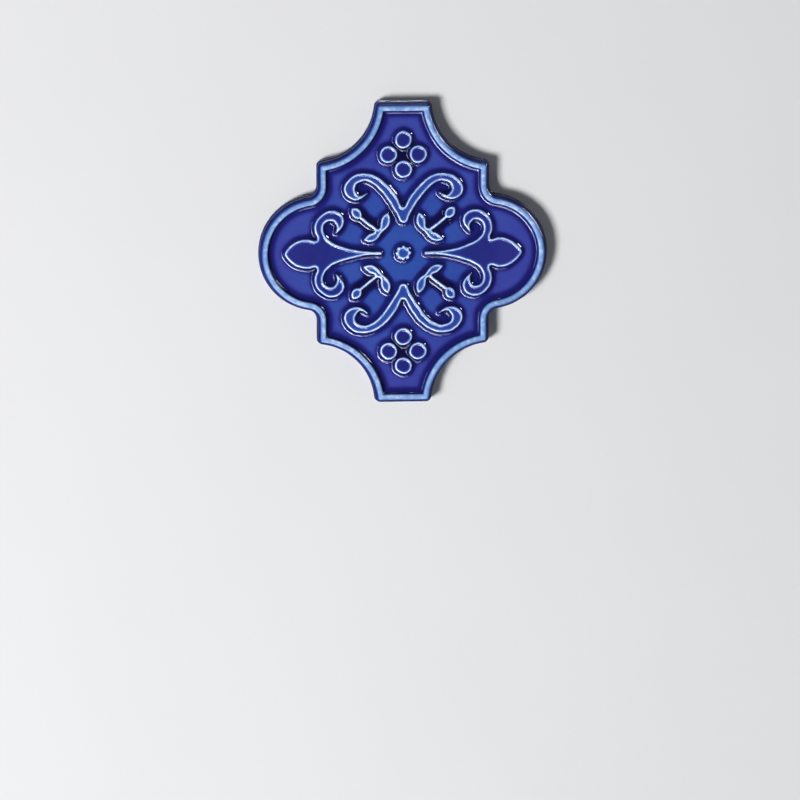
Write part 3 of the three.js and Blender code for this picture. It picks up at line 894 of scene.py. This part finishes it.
class TileSizes(bpy.types.PropertyGroup):
    """Sizes of the tile's plan and the fineness of its mesh."""

    length: length_property("Length", "Between the two straight ends", 0.1504)
    width: length_property("Width", "Across the two round lobes", 0.1426)
    neck_width: length_property("Neck width", "Width of a straight end, corners included", 0.0282)
    shoulder_width: length_property("Shoulder width", "Between shoulder corners, across the tile", 0.0852)
    shoulder_length: length_property("Shoulder length", "Between shoulder corners, along the tile", 0.0913)
    flare_radius: length_property("Flare radius", "Hollow arc between neck and shoulder", 0.0301)
    lobe_radius: length_property("Lobe radius", "Round side of the tile", 0.0289)
    waist_radius: length_property("Waist radius", "Small hollow between shoulder and lobe", 0.0048)
    corner_radius: length_property("Corner radius", "Outer corners of neck and shoulder", 0.003)
    fine_step: length_property("Fine step", "Spacing of mesh points beside the ornament's edges", 0.00036)
    coarse_step: length_property("Coarse step", "Spacing of mesh points on the plain field", 0.0012)


class TileLooks(bpy.types.PropertyGroup):
    """Colours and gloss of the glaze, the clay and the floor."""

    bare: colour_property("Bare edge", "Glaze drawn thin over a sharp edge", (0.75, 0.82, 0.95))
    edge: colour_property("Edge", "Thin glaze on the rim's crest", (0.205, 0.385, 0.735))
    thin: colour_property("Thin", "Glaze sloping off an edge", (0.075, 0.16, 0.46))
    body: colour_property("Body", "Glaze on the plain field", (0.035, 0.070, 0.375))
    dense: colour_property("Dense", "Glaze a little thicker than on the field", (0.022, 0.028, 0.225))
    pool: colour_property("Pool", "Glaze run together beside a wall", (0.011, 0.0125, 0.145))
    dark: colour_property("Dark", "Glaze at the foot of a wall", (0.007, 0.0075, 0.105))
    deep: colour_property("Deep", "Glaze trapped in the deepest pockets", (0.005, 0.003, 0.04))
    middle: colour_property("Middle", "Greener glaze round the rosette", (0.030, 0.096, 0.43))
    violet: colour_property("Violet", "Tint of the glaze towards the lobes and necks", (0.062, 0.052, 0.35))
    side: colour_property("Side", "Thin dry coat on the side", (0.012, 0.03, 0.16))
    side_deep: colour_property("Deep side", "Thicker runs on the side", (0.006, 0.012, 0.085))
    roughness: share_property("Roughness", "Least roughness of the glaze", 0.04)
    dry: share_property("Dryness", "Roughness added where the glaze has drawn off an edge", 0.3)
    clay: colour_property("Clay", "Bare fired clay of the bed", (0.62, 0.52, 0.42))
    clay_dust: colour_property("Clay dust", "Paler dust on the clay", (0.74, 0.68, 0.6))
    floor: colour_property("Floor", "Plain pale floor", (0.825, 0.825, 0.825))
    floor_shade: colour_property("Floor shade", "Slightly darker drifts of the floor", (0.785, 0.785, 0.795))


class TileStage(bpy.types.PropertyGroup):
    """Camera and lights."""

    lens: FloatProperty(
        name="Lens", description="Focal length in millimetres", default=250, min=20, unit="CAMERA")
    tilt_left: angle_property("Tilt left", "How far the camera leans left of straight down", 3.8)
    tilt_up: angle_property("Tilt up", "How far the camera leans towards the tile's upper end", 11.6)
    roll: angle_property("Roll", "How far the tile looks turned in the frame", -0.02)
    fill: FloatProperty(
        name="Fill", description="Strength of the light from all round", default=0.19, min=0)
    overhead: FloatProperty(
        name="Overhead", description="Strength of the light from overhead", default=0.06, min=0)
    key: power_property("Key", "Main soft light", 93)
    strips: power_property("Strips", "Row of lights seen on slopes that face left and down", 20)
    ridges: power_property("Ridges", "Light seen on the tops of the raised lines", 7)
    low_left: power_property("Low left", "Wide low light at the lower left", 1.2)
    spot: power_property("Spot", "Small light seen as glints on slopes that face up and right", 8)
    far_edge: power_property("Far edge", "Low light beyond the upper end", 14)
    shoulder: power_property("Shoulder", "Low light seen on the rim's outer slope at the upper right", 7)
    low_right: power_property("Low right", "Low light at the right", 0.7)
    floor_side: length_property("Floor side", "Side of the square floor", 6)


class TILE_OT_camera(bpy.types.Operator):
    """Place the camera at the photo's viewing angle."""

    bl_idname = "tile.camera"
    bl_label = "Place Camera"

    def execute(self, context):
        place_camera(context.scene.tile_stage)
        return {"FINISHED"}


class TILE_OT_stage(bpy.types.Operator):
    """Lay the pale floor and set up the soft lights."""

    bl_idname = "tile.stage"
    bl_label = "Set the Stage"

    def execute(self, context):
        stage, looks = context.scene.tile_stage, context.scene.tile_looks
        plane_mesh("floor", stage.floor_side, floor_material(looks))
        context.scene.world = room_light(stage)
        context.scene.view_settings.view_transform = "Standard"
        soft_light("key", facing(*KEY_PLACE), KEY_AWAY, KEY_SIZE, stage.key, glossy=False)
        for turn, slope, share in STRIPS:
            power = stage.strips * share
            mirrored_light("strip_%d" % turn, stage, turn, slope, STRIP_SIZE, power, STRIP_COLOUR)
        for name, (turn, slope, size, colour) in GLINTS.items():
            mirrored_light(name, stage, turn, slope, size, getattr(stage, name), colour)
        return {"FINISHED"}


class TILE_OT_body(bpy.types.Operator):
    """Build the glazed tile with its rim and ornament."""

    bl_idname = "tile.body"
    bl_label = "Build Tile"

    def execute(self, context):
        looks = context.scene.tile_looks
        coats = glaze_material(looks), side_material(looks), biscuit_material(looks)
        tile = build_tile(context.scene.tile_sizes, coats)
        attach(tile, "root")
        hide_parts(TILE_NODE)
        return {"FINISHED"}


class TILE_PT_panel(bpy.types.Panel):
    """Lists what can be made, and the sizes, looks and lights."""

    bl_label = "Ceramic Tile"
    bl_idname = "TILE_PT_panel"
    bl_space_type = "VIEW_3D"
    bl_region_type = "UI"
    bl_category = "Tile"

    def draw(self, context):
        for kind in STEPS:
            self.layout.operator(kind.bl_idname)
        for group in (context.scene.tile_sizes, context.scene.tile_looks, context.scene.tile_stage):
            for name in group.__annotations__:
                self.layout.prop(group, name)


STEPS = (TILE_OT_camera, TILE_OT_stage, TILE_OT_body)
GROUPS = {"tile_sizes": TileSizes, "tile_looks": TileLooks, "tile_stage": TileStage}


def register():
    for kind in (*GROUPS.values(), *STEPS, TILE_PT_panel):
        bpy.utils.register_class(kind)
    for name, group in GROUPS.items():
        setattr(bpy.types.Scene, name, PointerProperty(type=group))


def unregister():
    for name in GROUPS:
        delattr(bpy.types.Scene, name)
    for kind in (TILE_PT_panel, *reversed(STEPS), *reversed(GROUPS.values())):
        bpy.utils.unregister_class(kind)


def main():
    """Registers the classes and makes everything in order."""
    register()
    bpy.ops.tile.camera()
    bpy.ops.tile.stage()
    bpy.ops.tile.body()


if __name__ == "__main__":
    main()
